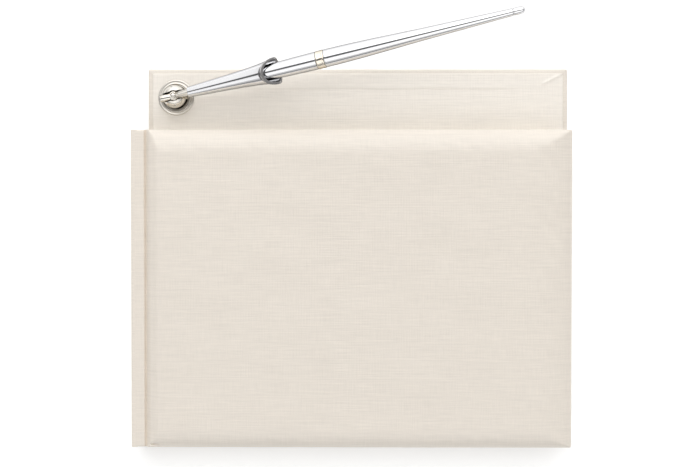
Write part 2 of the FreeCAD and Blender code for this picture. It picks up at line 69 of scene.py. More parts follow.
def make_object(name, points, faces, uvs=None, smooth_angle=40, closed=False):
    """A smooth-shaded mesh object. uvs holds each point's place on the flat cloth, in metres."""
    mesh = bpy.data.meshes.new(name)
    mesh.from_pydata([tuple(float(value) for value in point) for point in points], [], faces)
    if closed:
        solid = bmesh.new()
        solid.from_mesh(mesh)
        bmesh.ops.recalc_face_normals(solid, faces=solid.faces)
        solid.to_mesh(mesh)
        solid.free()
    if uvs is not None:
        layer = mesh.uv_layers.new(name="surface")
        index = np.zeros(len(mesh.loops), int)
        mesh.loops.foreach_get("vertex_index", index)
        layer.data.foreach_set("uv", np.asarray(uvs, float)[index].ravel())
    smooth(mesh, smooth_angle)
    obj = bpy.data.objects.new(name, mesh)
    bpy.context.scene.collection.objects.link(obj)
    return obj


def smooth(mesh, angle):
    mesh.polygons.foreach_set("use_smooth", [True] * len(mesh.polygons))
    mesh.set_sharp_from_angle(angle=math.radians(angle))


def soften(path, radius, steps=4):
    """Rounds the corners of an open line of points."""
    out = [path[0]]
    for before, here, after in zip(path, path[1:], path[2:]):
        before, here, after = (np.array(point, float) for point in (before, here, after))
        back, on = before - here, after - here
        reach = min(radius, 0.45 * np.linalg.norm(back), 0.45 * np.linalg.norm(on))
        first = here + back / np.linalg.norm(back) * reach
        last = here + on / np.linalg.norm(on) * reach
        for i in range(steps + 1):
            t = i / steps
            out.append(tuple((1 - t) ** 2 * first + 2 * t * (1 - t) * here + t * t * last))
    out.append(path[-1])
    return out


def curve_through(points, count):
    """A smooth line through points whose second values rise, without overshoot."""
    s = np.array([point[1] for point in points], float)
    r = np.array([point[0] for point in points], float)
    slope = np.diff(r) / np.diff(s)
    tangent = np.concatenate(([slope[0]], (slope[1:] + slope[:-1]) / 2, [slope[-1]]))
    for i in range(1, len(s) - 1):
        if slope[i - 1] * slope[i] <= 0:
            tangent[i] = 0
    places = np.linspace(s[0], s[-1], count)
    piece = np.clip(np.searchsorted(s, places, "right") - 1, 0, len(s) - 2)
    wide = s[piece + 1] - s[piece]
    t = (places - s[piece]) / wide
    values = ((2 * t ** 3 - 3 * t ** 2 + 1) * r[piece] + (t ** 3 - 2 * t ** 2 + t) * wide * tangent[piece]
              + (3 * t ** 2 - 2 * t ** 3) * r[piece + 1] + (t ** 3 - t ** 2) * wide * tangent[piece + 1])
    return list(zip(values, places))


def lathe(name, profile, place, segments=96, closed=False):
    """Turns (radius, height) points about the local Z axis of place. A radius of 0 closes an end."""
    points, rings = [], []
    for radius, height in profile:
        if radius < 1e-7:
            rings.append([len(points)])
            points.append(place @ Vector((0, 0, height)))
            continue
        rings.append(list(range(len(points), len(points) + segments)))
        for i in range(segments):
            angle = 2 * math.pi * i / segments
            points.append(place @ Vector((radius * math.cos(angle), radius * math.sin(angle), height)))
    pairs = list(zip(rings, rings[1:]))
    if closed:
        pairs.append((rings[-1], rings[0]))
    faces = []
    for low, high in pairs:
        for i in range(segments):
            j = (i + 1) % segments
            if len(low) == 1:
                faces.append((low[0], high[i], high[j]))
            elif len(high) == 1:
                faces.append((low[i], high[0], low[j]))
            else:
                faces.append((low[i], low[j], high[j], high[i]))
    return make_object(name, points, faces, closed=True, smooth_angle=32)


def rounded_corners(x, y, low, high, radius):
    """Moves the points of a rectangle into the same rectangle with rounded corners."""
    middle_x = np.clip(x, low[0] + radius, high[0] - radius)
    middle_y = np.clip(y, low[1] + radius, high[1] - radius)
    a, b = (x - middle_x) / radius, (y - middle_y) / radius
    return (middle_x + radius * a * np.sqrt(1 - b * b / 2), middle_y + radius * b * np.sqrt(1 - a * a / 2))


def around(columns, rows):
    """The indices of a grid's outer points, counterclockwise from above."""
    loop = [(i, 0) for i in range(columns - 1)]
    loop += [(columns - 1, j) for j in range(rows - 1)]
    loop += [(i, rows - 1) for i in range(columns - 1, 0, -1)]
    loop += [(0, j) for j in range(rows - 1, 0, -1)]
    return [i * rows + j for i, j in loop]


def outward(loop_points):
    """Unit vectors that point out of a counterclockwise loop, in plan."""
    along = np.roll(loop_points, -1, axis=0) - np.roll(loop_points, 1, axis=0)
    out = np.stack([along[:, 1], -along[:, 0]], axis=1)
    return out / np.linalg.norm(out, axis=1, keepdims=True)


def moved(edge, out, distance, low, high, corner):
    """A loop moved outwards, or inwards without crossing itself at the corners."""
    if distance > -0.6 * corner:
        return edge + out * distance
    return np.stack([np.clip(edge[:, 0], low[0] - distance, high[0] + distance),
                     np.clip(edge[:, 1], low[1] - distance, high[1] + distance)], axis=1)


def cloth_shell(name, xs, ys, height, corner, skirt):
    """A stretched cloth: a grid with its own heights, then rows that follow the edge out, down and under.
    skirt holds (outward distance, share of the way down, lowest height) for each row."""
    low, high = (xs[0], ys[0]), (xs[-1], ys[-1])
    flat_x, flat_y = np.meshgrid(xs, ys, indexing="ij")
    x, y = rounded_corners(flat_x, flat_y, low, high, corner)
    z = height(flat_x, flat_y)
    points = np.stack([x.ravel(), y.ravel(), z.ravel()], axis=1)
    uvs = np.stack([x.ravel(), y.ravel()], axis=1)
    columns, rows = len(xs), len(ys)
    faces = []
    for i in range(columns - 1):
        for j in range(rows - 1):
            a = i * rows + j
            faces.append((a, a + rows, a + rows + 1, a + 1))
    loop = around(columns, rows)
    edge = points[loop]
    out = outward(edge[:, :2])
    count = len(loop)
    previous, previous_points = loop, edge
    travelled = np.zeros(count)
    for distance, share, lowest in skirt:
        plan = moved(edge[:, :2], out, distance, low, high, corner)
        row = np.column_stack([plan, edge[:, 2] + (lowest - edge[:, 2]) * share])
        travelled = travelled + np.linalg.norm(row - previous_points, axis=1)
        start = len(points)
        points = np.vstack([points, row])
        uvs = np.vstack([uvs, edge[:, :2] + out * travelled[:, None]])
        current = list(range(start, start + count))
        for k in range(count):
            n = (k + 1) % count
            faces.append((previous[k], current[k], current[n], previous[n]))
        previous, previous_points = current, row
    return make_object(name, points, faces, uvs, smooth_angle=60)


def slab(name, low, high, rows, corner, steps=24, wave=0.0, seed=0):
    """A board-like piece with rounded plan corners: rows of (inset, height), closed flat at both ends."""
    dice = random.Random(seed)
    phases = [(dice.uniform(70, 180), dice.uniform(0, 6.28)) for _ in range(3)]
    loop = []
    corners = [(low[0], low[1]), (high[0], low[1]), (high[0], high[1]), (low[0], high[1])]
    for start, end in zip(corners, corners[1:] + corners[:1]):
        for i in range(steps):
            t = (1 - math.cos(math.pi * i / steps)) / 2
            loop.append((start[0] + (end[0] - start[0]) * t, start[1] + (end[1] - start[1]) * t))
    flat = np.array(loop)
    x, y = rounded_corners(flat[:, 0], flat[:, 1], low, high, corner)
    edge = np.stack([x, y], axis=1)
    out = outward(edge)
    sway = sum(np.sin((flat[:, 0] + flat[:, 1]) * rate + phase) for rate, phase in phases) * wave
    sway = np.broadcast_to(sway, len(flat))
    count = len(loop)
    points, uvs = np.zeros((0, 3)), np.zeros((0, 2))
    travelled = 0.0
    for k, (inset, height) in enumerate(rows):
        if k:
            travelled += math.hypot(inset - rows[k - 1][0], height - rows[k - 1][1])
        plan = moved(edge, out, -inset, low, high, corner) + out * sway[:, None]
        points = np.vstack([points, np.column_stack([plan, np.full(count, height)])])
        uvs = np.vstack([uvs, edge + out * (travelled - rows[0][0])])
    faces = [tuple(range(count - 1, -1, -1))]
    for k in range(len(rows) - 1):
        for i in range(count):
            j = (i + 1) % count
            a, b = k * count, (k + 1) * count
            faces.append((a + i, a + j, b + j, b + i))
    last = (len(rows) - 1) * count
    faces.append(tuple(range(last, last + count)))
    return make_object(name, points, faces, uvs, smooth_angle=50)


def ribbon(name, paths, thick, stations, along):
    """Strips of even thickness. Each path runs across the strip, which is swept over the stations."""
    points, faces, uvs = [], [], []
    for path in paths:
        line = np.array(path, float)
        step = np.gradient(line, axis=0)
        normal = np.stack([-step[:, 1], step[:, 0]], axis=1)
        normal /= np.linalg.norm(normal, axis=1, keepdims=True)
        inner = line + normal * thick
        length = np.concatenate([[0], np.cumsum(np.linalg.norm(np.diff(line, axis=0), axis=1))])
        ring = np.vstack([line, inner[::-1]])
        ring_length = np.concatenate([length, length[::-1]])
        count, many = len(ring), len(line)
        start = len(points)
        for station in stations:
            for (a, b), run in zip(ring, ring_length):
                points.append((a, station, b) if along == "y" else (a, b, station))
                uvs.append((run, station))
        for k in range(len(stations) - 1):
            for i in range(count):
                j = (i + 1) % count
                a, b = start + k * count, start + (k + 1) * count
                faces.append((a + i, a + j, b + j, b + i))
        for end in (start, start + (len(stations) - 1) * count):
            for i in range(many - 1):
                faces.append((end + i, end + i + 1, end + count - 2 - i, end + count - 1 - i))
    return make_object(name, points, faces, uvs, smooth_angle=50, closed=True)


BEND_STEPS = 16
SHEET_SHARE = 0.86


def paper_stack(name, low, high, count, seed, bend=0.0):
    """Separate thin sheets, each a little out of line, with extra points near the gutter."""
    dice = random.Random(seed)
    pitch = (high.z - low.z) / count
    stations = [0.0]
    if bend:
        stations = [bend * i / BEND_STEPS for i in range(BEND_STEPS + 1)]
    points, faces = [], []
    for k in range(count):
        east = high.x - dice.uniform(0, RAGGED)
        south = low.y + dice.uniform(0, RAGGED)
        north = high.y - dice.uniform(0, RAGGED)
        base = low.z + k * pitch
        top = base + pitch * (SHEET_SHARE if count > 1 else 1.0)
        columns = [low.x + s for s in stations] + [east]
        start = len(points)
        for x in columns:
            points += [(x, south, base), (x, north, base), (x, north, top), (x, south, top)]
        for i in range(len(columns) - 1):
            a, b = start + 4 * i, start + 4 * i + 4
            faces += [(a + e, b + e, b + (e + 1) % 4, a + (e + 1) % 4) for e in range(4)]
        last = start + 4 * (len(columns) - 1)
        faces += [(start + 3, start + 2, start + 1, start), (last, last + 1, last + 2, last + 3)]
    return make_object(name, points, faces, closed=True, smooth_angle=30)


def baked(obj):
    """Replaces an object's mesh by the result of its modifiers."""
    bpy.context.view_layer.update()
    result = bpy.data.meshes.new_from_object(obj.evaluated_get(bpy.context.evaluated_depsgraph_get()))
    obj.modifiers.clear()
    obj.data = result


# ---------------------------------------------------------------- materials

def add_node(tree, kind, inputs=None, **settings):
    """Adds a node. Each input takes a value, or the output socket that it is linked to."""
    item = tree.nodes.new(kind)
    for key, value in settings.items():
        setattr(item, key, value)
    for socket, value in (inputs or {}).items():
        if isinstance(value, bpy.types.NodeSocket):
            tree.links.new(value, item.inputs[socket])
        else:
            item.inputs[socket].default_value = value
    return item


class Shader:
    """A material and the few calls that build its nodes."""

    def __init__(self, name, colour, roughness, metallic=0.0, specular=0.5):
        self.material = bpy.data.materials.new(name)
        self.material.use_nodes = True
        self.tree = self.material.node_tree
        self.surface = self.tree.nodes["Principled BSDF"]
        self.colour = colour
        self.set("Base Color", (*colour, 1))
        self.set("Roughness", roughness)
        self.set("Metallic", metallic)
        self.set("Specular IOR Level", specular)
        self.heights = []

    def set(self, socket, value):
        self.surface.inputs[socket].default_value = value

    def add(self, kind, inputs=None, **settings):
        return add_node(self.tree, kind, inputs, **settings)

    def link(self, output, socket):
        self.tree.links.new(output, self.surface.inputs[socket])

    def place(self, kind):
        if kind == "surface":
            return self.add("ShaderNodeUVMap", uv_map="surface").outputs["UV"]
        return self.add("ShaderNodeTexCoord").outputs["Object"]

    def noise(self, where, size, detail=2.0):
        """Noise whose grain has the given size along each axis, in metres. Returns values about 0.5."""
        scale = tuple(1 / value for value in size)
        placed = self.add("ShaderNodeMapping", {"Vector": where, "Scale": scale}).outputs["Vector"]
        inputs = {"Vector": placed, "Scale": 1.0, "Detail": detail}
        return self.add("ShaderNodeTexNoise", inputs).outputs["Fac"]

    def sum(self, terms, start=0.0):
        """start plus each (value, factor) with the value taken about 0.5."""
        total = start
        for value, factor in terms:
            centred = self.add("ShaderNodeMath", {0: value, 1: 0.5}, operation="SUBTRACT").outputs[0]
            weighed = self.add("ShaderNodeMath", {0: centred, 1: factor, 2: total}, operation="MULTIPLY_ADD")
            total = weighed.outputs[0]
        return total

    def vary_colour(self, terms):
        """Multiplies the base colour by 1 plus the sum of the terms."""
        factor = self.sum(terms, 1.0)
        rgb = self.add("ShaderNodeCombineXYZ", {"X": factor, "Y": factor, "Z": factor}).outputs[0]
        mixed = self.add("ShaderNodeVectorMath", {0: rgb, 1: self.colour}, operation="MULTIPLY").outputs[0]
        self.link(mixed, "Base Color")

    def bump(self, terms, distance, strength=1.0):
        height = self.sum(terms, 0.5)
        bump = self.add("ShaderNodeBump", {"Height": height, "Distance": distance, "Strength": strength})
        self.link(bump.outputs["Normal"], "Normal")


def cloth_shader(name, colour, roughness):
    """Ivory satin with threads of uneven thickness both ways."""
    made = Shader(name, colour, roughness, specular=0.9)
    where = made.place("surface")
    weft = made.noise(where, (9 * MM, 0.55 * MM, 1), 3)
    warp = made.noise(where, (0.55 * MM, 9 * MM, 1), 3)
    slub = made.noise(where, (26 * MM, 1.1 * MM, 1), 2)
    drift = made.noise(where, (60 * MM, 45 * MM, 1), 2)
    made.vary_colour([(weft, 0.14), (warp, 0.11), (slub, 0.13), (drift, 0.03)])
    made.link(made.sum([(weft, 0.25), (warp, 0.15)], roughness), "Roughness")
    threads = []
    for direction in ("X", "Y"):
        wave = made.add("ShaderNodeTexWave", {"Vector": where, "Scale": 0.5 / (0.42 * MM) / math.pi,
                                              "Distortion": 0.0}, bands_direction=direction)
        threads.append((wave.outputs["Fac"], 0.35))
    made.bump([(weft, 1.6), (warp, 1.2), (slub, 0.9)] + threads, 0.05 * MM, 0.8)
    made.set("Sheen Weight", 0.22)
    made.set("Sheen Roughness", 0.35)
    made.set("Sheen Tint", (1.0, 0.99, 0.97, 1))
    return made.material


def paper_shader(name, colour, grain):
    made = Shader(name, colour, 0.85, specular=0.25)
    where = made.place("object")
    fine = made.noise(where, (grain, grain, grain), 4)
    broad = made.noise(where, (9 * MM, 9 * MM, 0.3 * MM), 2)
    made.vary_colour([(fine, 0.05), (broad, 0.06)])
    made.bump([(fine, 1.0)], 0.03 * MM, 0.7)
    return made.material


def board_shader(name, colour):
    made = Shader(name, colour, 0.9, specular=0.2)
    where = made.place("object")
    fibres = made.noise(where, (1.4 * MM, 0.4 * MM, 0.25 * MM), 4)
    specks = made.noise(where, (0.5 * MM, 0.5 * MM, 0.5 * MM), 1)
    made.vary_colour([(fibres, 0.22), (specks, 0.15)])
    made.bump([(fibres, 1.0)], 0.06 * MM)
    return made.material


def mull_shader(name, colour):
    made = Shader(name, colour, 0.9, specular=0.2)
    where = made.place("object")
    threads = [made.noise(where, (9, 0.5 * MM, 6 * MM), 1), made.noise(where, (9, 6 * MM, 0.5 * MM), 1)]
    made.vary_colour([(value, 0.2) for value in threads])
    made.bump([(value, 1.0) for value in threads], 0.08 * MM)
    return made.material


def band_shader(name, colour, stripe):
    """Two colours of thread, wound in turns 1.2 mm apart."""
    made = Shader(name, colour, 0.6, specular=0.3)
    where = made.place("object")
    wave = made.add("ShaderNodeTexWave", {"Vector": where, "Scale": 0.5 / (1.2 * MM) / math.pi,
                                          "Distortion": 0.0}, bands_direction="Z")
    ramp = made.add("ShaderNodeValToRGB", {"Fac": wave.outputs["Fac"]})
    ramp.color_ramp.elements[0].position = 0.42
    ramp.color_ramp.elements[0].color = (*stripe, 1)
    ramp.color_ramp.elements[1].position = 0.58
    ramp.color_ramp.elements[1].color = (*colour, 1)
    made.link(ramp.outputs["Color"], "Base Color")
    made.bump([(wave.outputs["Fac"], 1.0)], 0.1 * MM)
    return made.material


def metal_shader(name, colour, roughness):
    """Plated metal, faintly brushed, that darkens at grazing angles."""
    made = Shader(name, colour, roughness, metallic=1.0)
    where = made.place("object")
    haze = made.noise(where, (3 * MM, 3 * MM, 3 * MM), 3)
    grain = made.noise(where, (6 * MM, 0.16 * MM, 0.16 * MM), 2)
    made.link(made.sum([(haze, 0.05), (grain, 0.06)], roughness), "Roughness")
    made.vary_colour([(haze, 0.04), (grain, 0.03)])
    made.set("Specular Tint", (0, 0, 0, 1))
    made.bump([(grain, 1.0)], 0.02 * MM, 0.12)
    return made.material


def plastic_shader(name, colour):
    made = Shader(name, colour, 0.55, specular=0.4)
    where = made.place("object")
    grain = made.noise(where, (0.4 * MM, 0.4 * MM, 0.4 * MM), 3)
    made.vary_colour([(grain, 0.2)])
    made.bump([(grain, 1.0)], 0.01 * MM)
    return made.material


COVER_CLOTH = cloth_shader("cover_cloth", (0.825, 0.757, 0.672), 0.40)
# The ledge's facing is the cover's satin painted lighter: painted light that makes up for the shade on the
# recessed ledge under the pen.
LIT_FACING_CLOTH = cloth_shader("facing_cloth", (0.912, 0.855, 0.777), 0.40)
ENDPAPER = paper_shader("endpaper", (0.80, 0.765, 0.68), 0.5 * MM)
PAGE_PAPER = paper_shader("page_paper", (0.84, 0.815, 0.75), 0.35 * MM)
BOARD = board_shader("board", (0.40, 0.36, 0.30))
MULL = mull_shader("mull", (0.74, 0.71, 0.64))
BAND = band_shader("band", (0.84, 0.80, 0.70), (0.66, 0.56, 0.38))
NICKEL = metal_shader("nickel", (0.80, 0.765, 0.70), 0.13)
SATIN_NICKEL = metal_shader("satin_nickel", (0.78, 0.74, 0.68), 0.30)
SILVER = metal_shader("pen_silver", (0.86, 0.86, 0.87), 0.10)
# The rim is the pen's own silver painted dark grey: painted shade for the shade that its flat face falls in.
SHADED_RIM_SILVER = metal_shader("rim_silver_painted_shade", (0.44, 0.43, 0.43), 0.28)
GOLD = metal_shader("trim_gold", (0.93, 0.86, 0.74), 0.12)
STEEL = metal_shader("steel", (0.55, 0.55, 0.56), 0.28)
PLASTIC = plastic_shader("liner_plastic", (0.03, 0.03, 0.033))
BRASS = metal_shader("refill", (0.78, 0.62, 0.30), 0.22)


def finished(obj, material, body=None, replaces=()):
    """Gives a piece its material and body, and hides the CAD nodes that it stands for."""
    obj.data.materials.clear()
    obj.data.materials.append(material)
    if body:
        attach(obj, body)
    if replaces:
        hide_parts(*replaces)


def dressed(node, material):
    """A better material on a CAD node that stays."""
    mesh = frame["nodes"][node].data
    mesh.materials.clear()
    mesh.materials.append(material)


def spaced(stops):
    """Rising values from (place, step beyond it) pairs: fine steps where the cloth bends."""
    out = []
    for (start, step), (end, _) in zip(stops, stops[1:]):
        count = max(1, round((end - start) / step))
        out += [start + (end - start) * i / count for i in range(count)]
    return np.array(out + [stops[-1][0]])


def ease(value):
    value = np.clip(value, 0, 1)
    return value * value * (3 - 2 * value)


# ---------------------------------------------------------------- front cover

skin_low, skin_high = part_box("front_cloth")
_, strip_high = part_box("hinge_strip")
STRIP_EAST = strip_high.x + CLOTH
STRIP_TOP = strip_high.z + CLOTH
GROOVE = STRIP_EAST + 0.45 * MM
GROOVE_FLOOR = skin_low.z + 1.3 * MM
PAD_RIM = skin_low.z + 3.5 * MM
PAD_TOP = skin_high.z
SHOULDERS = {"east": 24 * MM, "north": 14 * MM, "south": 12 * MM}
WEST_SLOPE = 10 * MM
SHOULDER_BLEND, MITRE_BLEND = 10, 0.22 * MM
CROWN_STEEP, CROWN_FULL, SLOPE_STEEP = 2.4, 0.68, 2.2
PUCKER_HIGH, RIPPLE_HIGH, STRIP_PUCKER = 0.035 * MM, 0.05 * MM, 0.012 * MM
TUCK_UP, TUCK_WIDE, TUCK_EAST, TUCK_DEEP = 2.0 * MM, 0.6 * MM, 8.5 * MM, 1.5 * MM
STRIP_EDGE = 0.9 * MM
dice = random.Random(7)
PUCKERS = [(dice.uniform(-260, 260), dice.uniform(-260, 260), dice.uniform(0, 6.28)) for _ in range(9)]
RIPPLES = [(dice.uniform(330, 620), dice.uniform(0, 6.28)) for _ in range(3)]


def shoulder_round(edge_distance, radius):
    """How far a rounded edge has dropped at a distance inside it."""
    inside = np.clip(1 - edge_distance / radius, 0, 1)
    return radius * (1 - np.sqrt(1 - inside * inside))


def cover_height(x, y):
    """The front cover's cloth: a flat strip, a pressed groove and a padded panel with mitred shoulders.
    The panel has a small tuck at the tail end of the groove."""
    west, east = x - GROOVE, skin_high.x - x
    north, south = skin_high.y - y, y - skin_low.y
    tiny = 1e-5
    shares = [np.maximum(east, tiny) / SHOULDERS["east"], np.maximum(north, tiny) / SHOULDERS["north"],
              np.maximum(south, tiny) / SHOULDERS["south"]]
    share = sum(value ** -SHOULDER_BLEND for value in shares) ** (-1 / SHOULDER_BLEND)
    share = np.clip(share, 0, 1)
    crown = (1 - (1 - share) ** CROWN_STEEP) ** CROWN_FULL
    pad = PAD_RIM + (PAD_TOP - PAD_RIM) * crown
    waves = sum(np.sin(x * a + y * b + phase) for a, b, phase in PUCKERS)
    pad = pad + waves * PUCKER_HIGH * crown
    edge_near = np.exp(-((share - 0.45) / 0.3) ** 2)
    ripples = sum(np.sin((x + y) * rate + phase) for rate, phase in RIPPLES)
    pad = pad + ripples * RIPPLE_HIGH * edge_near
    tuck = np.exp(-((south - TUCK_UP) / TUCK_WIDE) ** 2) * ease((TUCK_EAST - west) / (3 * MM))
    pad = pad - TUCK_DEEP * tuck * ease(west / (0.8 * MM))
    rise = 1 - (1 - np.clip(west / WEST_SLOPE, 0, 1)) ** SLOPE_STEEP
    slope = GROOVE_FLOOR + (PAD_TOP + 0.5 * MM - GROOVE_FLOOR) * rise
    lower = np.minimum(pad, slope)
    pad = lower - MITRE_BLEND * np.log1p(np.exp(-np.abs(pad - slope) / MITRE_BLEND))

    ends = np.minimum(north, south)
    strip = STRIP_TOP - shoulder_round(x - skin_low.x, STRIP_EDGE) - shoulder_round(ends, STRIP_EDGE)
    strip = strip + waves * STRIP_PUCKER
    floor = GROOVE_FLOOR + 0.25 * MM * np.sin(y * 310 + 1) * ease(ends / (20 * MM)) * 0.4
    strip = floor + (strip - floor) * ease((GROOVE - x) / (0.85 * MM))
    return np.where(x < GROOVE, strip, np.maximum(pad, floor))


cover_xs = spaced([(skin_low.x, 0.3 * MM), (GROOVE + 3.5 * MM, 0.6 * MM), (GROOVE + 13 * MM, 1.8 * MM),
                   (skin_high.x - 20 * MM, 0.9 * MM), (skin_high.x - 3 * MM, 0.35 * MM), (skin_high.x, 0)])
cover_ys = spaced([(skin_low.y, 0.35 * MM), (skin_low.y + 4 * MM, 0.8 * MM), (skin_low.y + 14 * MM, 1.8 * MM),
                   (skin_high.y - 14 * MM, 0.8 * MM), (skin_high.y - 3 * MM, 0.35 * MM), (skin_high.y, 0)])
COVER_SKIRT = [(0.0, 0.12, skin_low.z), (0.02 * MM, 0.5, skin_low.z), (0.0, 0.86, skin_low.z),
               (-0.12 * MM, 0.96, skin_low.z), (-0.45 * MM, 1.0, skin_low.z), (-TURN_IN, 1.0, skin_low.z)]
cover = cloth_shell("front_cover_cloth", cover_xs, cover_ys, cover_height, 1.0 * MM, COVER_SKIRT)
finished(cover, COVER_CLOTH, "front_cover", ("front_cloth", "foam_pad"))

paste_low, paste_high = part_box("front_pastedown")
lining = slab("front_endpaper", paste_low, paste_high,
              [(0, paste_low.z), (0, paste_low.z + SHEET * 0.9)], 0.3 * MM)
finished(lining, ENDPAPER, "front_cover", ("front_pastedown",))


# ---------------------------------------------------------------- back cover, ledge and spine

back_low, back_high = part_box("back_cloth")
board_low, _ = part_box("back_board")
tray_low = Vector((board_low.x - CLOTH, back_low.y, back_low.z))
EDGE = 0.9 * MM
tray_rows = [(12 * MM, back_low.z + 0.02 * MM), (EDGE, back_low.z + 0.02 * MM),
             (0.45 * EDGE, back_low.z + 0.12 * EDGE), (0.12 * EDGE, back_low.z + 0.45 * EDGE),
             (0, back_low.z + EDGE), (0, back_high.z - EDGE), (0.12 * EDGE, back_high.z - 0.45 * EDGE),
             (0.45 * EDGE, back_high.z - 0.12 * EDGE), (EDGE, back_high.z), (TURN_IN + EDGE, back_high.z),
             (TURN_IN + EDGE, back_high.z - 0.4 * MM)]
tray = slab("back_cover_cloth", tray_low, back_high, tray_rows, 0.8 * MM, steps=40, wave=0.03 * MM, seed=3)
finished(tray, COVER_CLOTH, "back_cover", ("back_cloth",))

facing_low, facing_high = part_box("ledge_facing")
flange_low, flange_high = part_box("swivel_flange")
SWIVEL = (flange_low + flange_high) / 2
FLANGE_RADIUS = (flange_high.x - flange_low.x) / 2
TURNED_EDGE = {"west": tray_low.x + TURN_IN, "east": back_high.x - TURN_IN, "north": back_high.y - TURN_IN}


TURN_STEP, TURN_DROP = 1.1 * MM, 0.28 * MM
MITRE_OUTER = np.array([facing_high.x + 0.6 * MM, facing_high.y + 0.4 * MM])
MITRE_INNER = np.array([facing_high.x - 12 * MM, facing_high.y - 6 * MM])
MITRE_HIGH, MITRE_WIDE, MITRE_END = 0.34 * MM, 0.75 * MM, 3 * MM


def facing_height(x, y):
    """The ledge's facing shows the cloth that is turned in under it, with its mitred corner."""
    wobble = 0.35 * MM * np.sin(y * 240) + 0.25 * MM * np.sin(x * 130 + 2)
    inner = (ease((x - TURNED_EDGE["west"] + wobble) / TURN_STEP)
             * ease((TURNED_EDGE["east"] - x + wobble) / TURN_STEP)
             * ease((TURNED_EDGE["north"] - y + wobble) / TURN_STEP))
    fade = 1 - 0.75 * ease((x - (facing_high.x - 32 * MM)) / (10 * MM))
    near = ease((1.5 * FLANGE_RADIUS - np.hypot(x - SWIVEL.x, y - SWIVEL.y)) / (4 * MM))
    height = facing_high.z - TURN_DROP * inner * (1 - near) * fade
    run = MITRE_INNER - MITRE_OUTER
    length = np.linalg.norm(run)
    along = ((x - MITRE_OUTER[0]) * run[0] + (y - MITRE_OUTER[1]) * run[1]) / length
    across = ((x - MITRE_OUTER[0]) * run[1] - (y - MITRE_OUTER[1]) * run[0]) / length
    height = height + MITRE_HIGH * np.exp(-(across / MITRE_WIDE) ** 2) * ease((length - along) / MITRE_END)
    dimple = np.hypot(x - SWIVEL.x, y - SWIVEL.y) - FLANGE_RADIUS
    outside = np.exp(-np.maximum(dimple, 0) / (2 * MM)) * (dimple > 0)
    height = height + 0.05 * MM * np.sin(dimple * 2400) * outside
    waves = sum(np.sin(x * a * 0.6 + y * b * 0.6 + phase) for a, b, phase in PUCKERS)
    return height + 0.01 * MM * waves


facing_xs = spaced([(facing_low.x, 0.6 * MM), (facing_low.x + 30 * MM, 1.2 * MM),
                    (facing_high.x - 16 * MM, 0.45 * MM), (facing_high.x, 0)])
facing_ys = spaced([(facing_low.y, 1.2 * MM), (facing_high.y - 26 * MM, 0.6 * MM),
                    (facing_high.y - 12 * MM, 0.45 * MM), (facing_high.y, 0)])
facing = cloth_shell("ledge_facing_cloth", facing_xs, facing_ys, facing_height, 0.8 * MM,
                     [(0.06 * MM, 0.25, back_high.z - 0.05 * MM), (0.1 * MM, 1.0, back_high.z - 0.05 * MM)])
# The facing takes the lighter satin: painted light for the recessed ledge.
finished(facing, LIT_FACING_CLOTH, "back_cover", ("ledge_facing",))

spine_low, spine_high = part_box("spine_cloth")
_, spine_board_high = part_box("spine_board")
PROUD, WRAP_FLOOR = 0.15 * MM, 0.04 * MM
wrap_path = soften([(board_low.x - 0.1 * MM, WRAP_FLOOR), (spine_low.x - PROUD, WRAP_FLOOR),
                    (spine_low.x - PROUD, STRIP_TOP + 0.1 * MM),
                    (spine_low.x + 1.7 * MM, STRIP_TOP + 0.08 * MM),
                    (spine_low.x + 3.0 * MM, STRIP_TOP - 0.25 * MM)], 1.1 * MM, 6)
wrap_line = []
for (ax, az), (bx, bz) in zip(wrap_path, wrap_path[1:]):
    pieces = max(1, round(math.hypot(bx - ax, bz - az) / (0.5 * MM)))
    wrap_line += [(ax + (bx - ax) * i / pieces, az + (bz - az) * i / pieces) for i in range(pieces)]
wrap_line.append(wrap_path[-1])
wrap_line = wrap_line[::-1]
wrap_ys = spaced([(spine_low.y - 0.05 * MM, 4 * MM), (spine_high.y + 0.05 * MM, 0)])
wrap = ribbon("spine_wrap", [wrap_line], 0.4 * MM, wrap_ys, "y")
finished(wrap, COVER_CLOTH, None, ("spine_cloth",))
HINGE = Vector(JOINTS["front_cover_hinge"]["pos_m"])
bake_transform(wrap)

FOLD_WEST, FOLD_EAST = spine_low.x + 0.1 * MM, spine_board_high.x + 0.08 * MM
fold_paths = []
for edge_y, inward in ((spine_high.y, -1), (spine_low.y, 1)):
    path = soften([(FOLD_WEST, edge_y + inward * 0.9 * MM), (FOLD_WEST, edge_y), (FOLD_EAST, edge_y),
                   (FOLD_EAST, edge_y + inward * TURN_IN)], 0.7 * MM, 5)
    fold_paths.append(path if inward > 0 else path[::-1])
fold_zs = spaced([(spine_low.z, 1.5 * MM), (spine_high.z - 0.15 * MM, 0)])
folds = ribbon("spine_turn_ins", fold_paths, 0.1 * MM, fold_zs, "z")
finished(folds, COVER_CLOTH, "back_cover")


# ---------------------------------------------------------------- papers

back_paper_low, back_paper_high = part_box("back_pastedown")
paper = slab("back_endpaper", back_paper_low, back_paper_high,
             [(0, back_paper_high.z - SHEET), (0, back_paper_high.z)], 0.3 * MM)
finished(paper, ENDPAPER, "back_cover", ("back_pastedown",))

leaf_low, leaf_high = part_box("back_flyleaf")
finished(paper_stack("back_flyleaf_sheet", leaf_low, leaf_high, 1, 11), ENDPAPER, "back_cover",
         ("back_flyleaf",))

SHEETS_IN_SIGNATURE = 6
GUTTER_BEND = 11 * MM
lower_low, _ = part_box("lower_signature_1")
_, lower_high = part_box("lower_signature_3")
lower = paper_stack("lower_pages", lower_low, lower_high, 3 * SHEETS_IN_SIGNATURE, 21)
finished(lower, PAGE_PAPER, "back_cover",
         ("lower_signature_1", "lower_signature_2", "lower_signature_3"))

